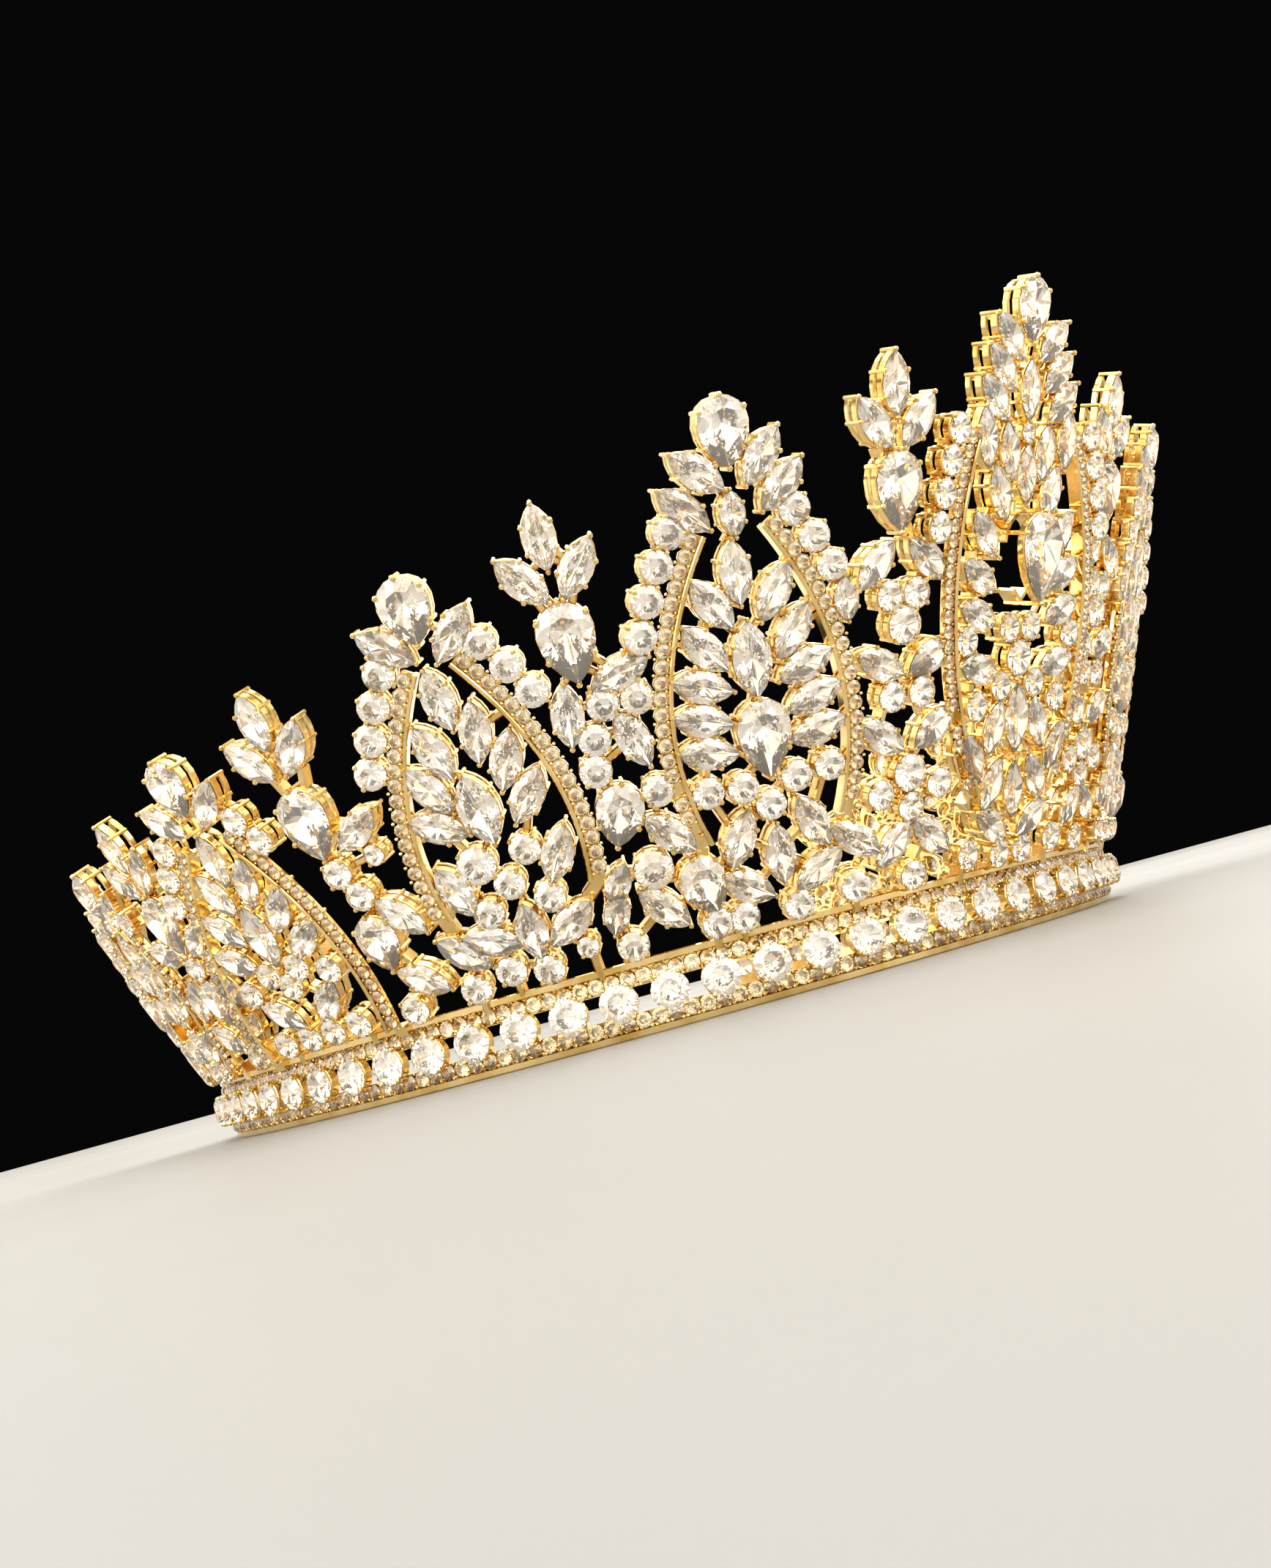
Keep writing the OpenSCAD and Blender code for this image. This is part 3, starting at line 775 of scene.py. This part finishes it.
def new_material(name, colour):
    material = bpy.data.materials.new(name)
    material.use_nodes = True
    material.diffuse_color = (*colour, 1)
    tree = material.node_tree
    shader = tree.nodes["Principled BSDF"]
    return material, tree, shader


def noise_node(tree, scale, detail=3.0):
    place = tree.nodes.new("ShaderNodeTexCoord")
    noise = tree.nodes.new("ShaderNodeTexNoise")
    noise.inputs["Scale"].default_value = scale
    noise.inputs["Detail"].default_value = detail
    tree.links.new(place.outputs["Object"], noise.inputs["Vector"])
    return noise


def ramp_node(tree, source, stops):
    ramp = tree.nodes.new("ShaderNodeValToRGB")
    elements = ramp.color_ramp.elements
    while len(elements) < len(stops):
        elements.new(0.5)
    for element, (place, colour) in zip(elements, stops):
        element.position = place
        element.color = (*colour, 1)
    tree.links.new(source, ramp.inputs["Fac"])
    return ramp


def gold_material(name, light, deep, rough):
    """Polished plated metal, a little deeper in tone in patches, with faint polishing marks"""
    material, tree, shader = new_material(name, light)
    patches = noise_node(tree, PATCH_SCALE)
    tone = ramp_node(tree, patches.outputs["Fac"], [(0.3, deep), (0.6, light)])
    tree.links.new(tone.outputs["Color"], shader.inputs["Base Color"])
    shader.inputs["Metallic"].default_value = 1
    marks = noise_node(tree, MARK_SCALE, 5)
    spread = tree.nodes.new("ShaderNodeMapRange")
    spread.inputs["To Min"].default_value = rough * MARK_ROUGHNESS[0]
    spread.inputs["To Max"].default_value = rough * MARK_ROUGHNESS[1]
    tree.links.new(marks.outputs["Fac"], spread.inputs["Value"])
    tree.links.new(spread.outputs["Result"], shader.inputs["Roughness"])
    bump = tree.nodes.new("ShaderNodeBump")
    bump.inputs["Strength"].default_value = MARK_STRENGTH
    bump.inputs["Distance"].default_value = MARK_DEPTH
    tree.links.new(marks.outputs["Fac"], bump.inputs["Height"])
    tree.links.new(bump.outputs["Normal"], shader.inputs["Normal"])
    return material


def stone_material(name, clear, painted_gold_reflection, index, clearness):
    """Colourless stone whose base colour carries painted reflection of the gold around it, warmer in random
    zones, and a share of milky white
    """
    material, tree, shader = new_material(name, clear)
    painted_reflection_zones = noise_node(tree, PAINTED_REFLECTION_SCALE, 2)
    # The second stop is painted reflection of the gold around the stone, laid in random zones
    tone = ramp_node(tree, painted_reflection_zones.outputs["Fac"], [(0.35, clear), (0.65, painted_gold_reflection)])
    tree.links.new(tone.outputs["Color"], shader.inputs["Base Color"])
    shader.inputs["Transmission Weight"].default_value = clearness
    shader.inputs["Roughness"].default_value = 0
    shader.inputs["IOR"].default_value = index
    return material


def floor_material():
    material, tree, shader = new_material("pale_floor", FLOOR_PREVIEW)
    noise = noise_node(tree, FLOOR_SCALE, 6)
    tone = ramp_node(tree, noise.outputs["Fac"], FLOOR_TONES)
    tree.links.new(tone.outputs["Color"], shader.inputs["Base Color"])
    shader.inputs["Roughness"].default_value = FLOOR_ROUGHNESS
    return material


# Pieces
def make_piece(name, shapes, material, smooth, nodes=()):
    points, corners = joined(shapes)
    mesh = bpy.data.meshes.new(name)
    mesh.from_pydata((points * MM).tolist(), [], corners.tolist())
    mesh.materials.append(material)
    if smooth:
        mesh.shade_smooth()
        mesh.set_sharp_from_angle(angle=radians(SHARP_ANGLE))
    else:
        mesh.shade_flat()
    piece = bpy.data.objects.new(name, mesh)
    bpy.context.scene.collection.objects.link(piece)
    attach(piece, "root")
    if nodes:
        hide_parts(*nodes)
    return piece


GOLD = gold_material("polished_gold", light=(0.89, 0.67, 0.3), deep=(0.68, 0.44, 0.11), rough=0.13)
RIM_GOLD = gold_material("mirror_gold", light=(0.9, 0.68, 0.32), deep=(0.68, 0.44, 0.12), rough=0.06)
# Painted reflection: the warm tint of these colourless stones stands in for the gold around them
CLEAR = stone_material("clear_cut_stone", clear=(1, 0.965, 0.91), painted_gold_reflection=(1, 0.9, 0.76),
                       index=2.17, clearness=0.93)
# Painted reflection and painted shade: the brown-gold tint of these colourless tiny stones stands in for the
# gold and the shade round them
TINY = stone_material("tiny_stone_painted_gold_and_shade", clear=(0.92, 0.81, 0.56), painted_gold_reflection=(0.78, 0.62, 0.35),
                      index=2.0, clearness=0.94)


def gold_piece(name, shapes, material=GOLD, nodes=()):
    return make_piece(name, shapes, material, True, nodes)


def gem_piece(name, shapes, material=CLEAR, nodes=()):
    return make_piece(name, shapes, material, False, nodes)


def build_band():
    upper_low = BAND_H - UPPER_RAIL_H
    rails = rail(0, LOWER_RAIL_H, 0, RAIL_BORDER) + rail(upper_low, BAND_H, BAND_H - RAIL_BORDER, BAND_H)
    gold_piece("band_rails", rails, RIM_GOLD, ["frame"])
    places = [band_place(i * BAND_STEP, BAND_GIRDLE_R - KINDS["band"][3], BAND_STONE_Z)
              for i in range(-BAND_SIDE_STONES, BAND_SIDE_STONES + 1)]
    cup = setting("band")
    gold_piece("band_cups", [put(cup, place) for place in places])
    gem = stone("band")
    gem_piece("band_gems", [put(gem, place) for place in places], CLEAR, ["band_stones"])
    gems, beads = band_rows()
    tiny = tiny_stone(RAIL_GEM[0])
    gem_piece("band_tiny_gems", [put(tiny, place) for place in gems], TINY)
    ball = bead(RAIL_BEAD_R, BEAD_SIDES, BEAD_RINGS)
    gold_piece("band_beads", [put(ball, place) for place in beads])


def stone_marks():
    """Points on and inside the outline of every stone of the motifs, where they stand"""
    marks = []
    for _, _, angle, rows in units():
        place = motif_place(angle)
        for row in rows:
            outline = row_outline(row, 4 * SIDES)
            middle = outline.mean(0)
            inside = np.concatenate([middle + share * (outline - middle) for share in MARK_SHARES])
            girdle = KINDS[row[0]][3]
            marks.append(put((at_height(inside, girdle), None), place)[0])
    return np.concatenate(marks)


def is_free(spot, marks):
    """Whether a tiny stone at that place stands clear enough of the larger stones"""
    middle = np.array(spot @ Vector((0, 0, LEG_GIRDLE)))
    return np.linalg.norm(marks - middle, axis=1).min() > LEG_CLEAR


def build_legs(name, unit, place, marks):
    arch = arch_of(name)
    metal = []
    gems = []
    balls = []
    tiny = put(tiny_stone(LEG_GEM[0]), moved(0, 0, LEG_GIRDLE))
    ball = put(bead(LEG_BEAD_R, BEAD_SIDES, BEAD_RINGS), moved(0, 0, LEG_GIRDLE - LEG_BEAD_DROP))
    cup = tiny_cup(LEG_GEM[1] / 2 + LEG_CUP_MARGIN, *LEG_CUP)
    for side in (-1, 1):
        metal += [put(part, place) for part in leg_metal(arch, side)]
        spots, bead_spots = leg_gem_spots(arch, side)
        spots = [spot for spot in spots if is_free(place @ moved(*spot, 0), marks)]
        gems += [put(tiny, place @ moved(x, y, 0)) for x, y in spots]
        balls += [put(part, place @ moved(x, y, 0)) for part, places in ((ball, bead_spots), (cup, spots))
                  for x, y in places]
    gold_piece(unit + "_legs", metal, RIM_GOLD)
    gold_piece(unit + "_leg_beads", balls)
    gem_piece(unit + "_leg_gems", gems, TINY)


def build_motifs():
    kinds = [kind for kind in KINDS if kind != "band"]
    settings = {kind: setting(kind) for kind in kinds}
    stones = {kind: stone(kind) for kind in kinds}
    leaves = {"arch_leaves": [], "finial_leaves": []}
    marks = stone_marks()
    for name, unit, angle, rows in units():
        place = motif_place(angle)
        metal = []
        small = []
        for row in rows:
            spot = place @ row_place(row)
            metal.append(put(settings[row[0]], spot))
            metal += [put(bar, place) for bar in tie_bar(row[1:3], row, rows)]
            gem = put(stones[row[0]], spot)
            if row[0] in MAIN_KINDS:
                node = f"{unit}_{row[0]}_stone"
                gem_piece(f"{unit}_{row[0]}_gem", [gem], CLEAR, [node])
            elif is_field_leaf(name, row):
                leaves["arch_leaves" if name in ARCHES else "finial_leaves"].append(gem)
            else:
                small.append(gem)
        metal += [put(bar, place) for bar in links(rows)]
        if name in ARCHES:
            arch = arch_of(name)
            foot = (leg_x(arch, arch["foot"]), arch["foot"])
            for end in (foot, (-foot[0], foot[1])):
                metal += [put(bar, place) for bar in tie_bar(end, None, rows, LEG_W - CUP_WALL)]
            build_legs(name, unit, place, marks)
        gold_piece(unit + "_settings", metal)
        gem_piece(unit + "_small_gems", small)
    for node, gems in leaves.items():
        gem_piece(node + "_gems", gems, CLEAR, [node])


build_band()
build_motifs()


# Camera, fitted to the photograph: distance from the crown's axis, height angle over its base, heading in the
# row frame, and the turns of the view from there
CAMERA_DISTANCE = 268.0
CAMERA_HEIGHT_ANGLE = 1.18
CAMERA_HEADING = -39.3
VIEW_YAW = 0.84
VIEW_PITCH = 7.84
VIEW_ROLL = 15.31
FOCAL_LENGTH = 41.6
SENSOR_WIDTH = 36

# Lights, as seen from the camera's heading: place, size and power; sizes here are in metres
LIGHTS = {
    "front_left_light": ((-0.5, -0.55, 0.45), 0.5, 1.6),
    "front_right_light": ((0.6, -0.5, 0.35), 0.35, 1.2),
    "top_light": ((0, 0.1, 0.8), 0.6, 2.4),
    "back_light": ((0.2, 0.7, 0.4), 0.7, 1),
}
LIGHT_TARGET = (0, 0, 0.04)

# The room's panels: scale and detail of the pattern, and its tones from dark to bright
ROOM_SCALE = 8.0
ROOM_DETAIL = 2.0
ROOM_TONES = ((0.36, (0.04, 0.026, 0.014)), (0.42, (0.95, 0.76, 0.5)), (0.47, (1.72, 1.58, 1.33)),
              (0.6, (1.95, 1.88, 1.72)))
# Its strength in front of the crown and behind it, and where one turns into the other
ROOM_STRENGTH = (1.47, 0.8)
ROOM_TURN = (-0.2, 0.5)
BACKDROP_TONE = (0.002, 0.002, 0.002, 1)

FLOOR_R = 1.6
FLOOR_SIDES = 96
FLOOR_GAP = 0.00005


def add_camera():
    data = bpy.data.cameras.new("camera")
    data.lens = FOCAL_LENGTH
    data.sensor_fit = "HORIZONTAL"
    data.sensor_width = SENSOR_WIDTH
    data.clip_start = 0.002
    camera = bpy.data.objects.new("camera", data)
    bpy.context.scene.collection.objects.link(camera)
    bpy.context.scene.camera = camera
    height = radians(CAMERA_HEIGHT_ANGLE)
    stand = Vector((0, -cos(height), sin(height))) * CAMERA_DISTANCE * MM
    yaw = radians(VIEW_YAW)
    pitch = radians(VIEW_PITCH)
    roll = radians(VIEW_ROLL)
    ahead = Vector((sin(yaw) * cos(pitch), cos(yaw) * cos(pitch), sin(pitch)))
    right = Vector((cos(yaw), -sin(yaw), 0))
    up = right.cross(ahead)
    turned_right = right * cos(roll) - up * sin(roll)
    turned_up = right * sin(roll) + up * cos(roll)
    axes = Matrix((turned_right, turned_up, -ahead)).transposed().to_4x4()
    camera.matrix_world = turned(CAMERA_HEADING, "Z") @ Matrix.Translation(stand) @ axes


def add_area(name, place, size, power):
    data = bpy.data.lights.new(name, "AREA")
    data.shape = "DISK"
    data.size = size
    data.energy = power
    light = bpy.data.objects.new(name, data)
    bpy.context.scene.collection.objects.link(light)
    light.location = place
    light.rotation_euler = (Vector(LIGHT_TARGET) - place).to_track_quat("-Z", "Y").to_euler()


def add_world():
    """A room that is bright in front and dimmer behind the crown, and dark where the camera looks past it"""
    world = bpy.data.worlds.new("studio")
    bpy.context.scene.world = world
    world.use_nodes = True
    tree = world.node_tree
    tree.nodes.clear()
    place = tree.nodes.new("ShaderNodeTexCoord")
    panels = tree.nodes.new("ShaderNodeTexNoise")
    panels.inputs["Scale"].default_value = ROOM_SCALE
    panels.inputs["Detail"].default_value = ROOM_DETAIL
    tree.links.new(place.outputs["Generated"], panels.inputs["Vector"])
    ramp = ramp_node(tree, panels.outputs["Fac"], ROOM_TONES)
    room = tree.nodes.new("ShaderNodeBackground")
    behind = tree.nodes.new("ShaderNodeVectorMath")
    behind.operation = "DOT_PRODUCT"
    behind.inputs[1].default_value = turned(CAMERA_HEADING, "Z") @ Vector((0, 1, 0))
    tree.links.new(place.outputs["Generated"], behind.inputs[0])
    strength = tree.nodes.new("ShaderNodeMapRange")
    strength.inputs["From Min"].default_value = ROOM_TURN[0]
    strength.inputs["From Max"].default_value = ROOM_TURN[1]
    strength.inputs["To Min"].default_value = ROOM_STRENGTH[0]
    strength.inputs["To Max"].default_value = ROOM_STRENGTH[1]
    tree.links.new(behind.outputs["Value"], strength.inputs["Value"])
    tree.links.new(strength.outputs["Result"], room.inputs["Strength"])
    tree.links.new(ramp.outputs["Color"], room.inputs["Color"])
    dark = tree.nodes.new("ShaderNodeBackground")
    dark.inputs["Color"].default_value = BACKDROP_TONE
    path = tree.nodes.new("ShaderNodeLightPath")
    mix = tree.nodes.new("ShaderNodeMixShader")
    tree.links.new(path.outputs["Is Camera Ray"], mix.inputs["Fac"])
    tree.links.new(room.outputs["Background"], mix.inputs[1])
    tree.links.new(dark.outputs["Background"], mix.inputs[2])
    out = tree.nodes.new("ShaderNodeOutputWorld")
    tree.links.new(mix.outputs["Shader"], out.inputs["Surface"])


def add_floor():
    mesh = bpy.data.meshes.new("floor")
    edge = circle(FLOOR_R, FLOOR_SIDES)
    mesh.from_pydata(at_height(edge, 0).tolist(), [], [list(range(FLOOR_SIDES))])
    mesh.materials.append(floor_material())
    ground = bpy.data.objects.new("floor", mesh)
    bpy.context.scene.collection.objects.link(ground)
    ground.location.z = cad_box[0][2] - FLOOR_GAP


def set_light_and_tone():
    scene = bpy.context.scene
    scene.cycles.use_denoising = True
    scene.cycles.max_bounces = 16
    scene.cycles.glossy_bounces = 6
    scene.cycles.transmission_bounces = 14
    scene.cycles.caustics_reflective = True
    scene.cycles.caustics_refractive = True
    scene.cycles.sample_clamp_indirect = 8
    scene.view_settings.view_transform = "Standard"
    scene.view_settings.look = "None"
    scene.view_settings.exposure = 0.0


add_camera()
add_world()
add_floor()
heading = turned(CAMERA_HEADING, "Z")
for light_name, (light_place, light_size, light_power) in LIGHTS.items():
    add_area(light_name, heading @ Vector(light_place), light_size, light_power)
set_light_and_tone()
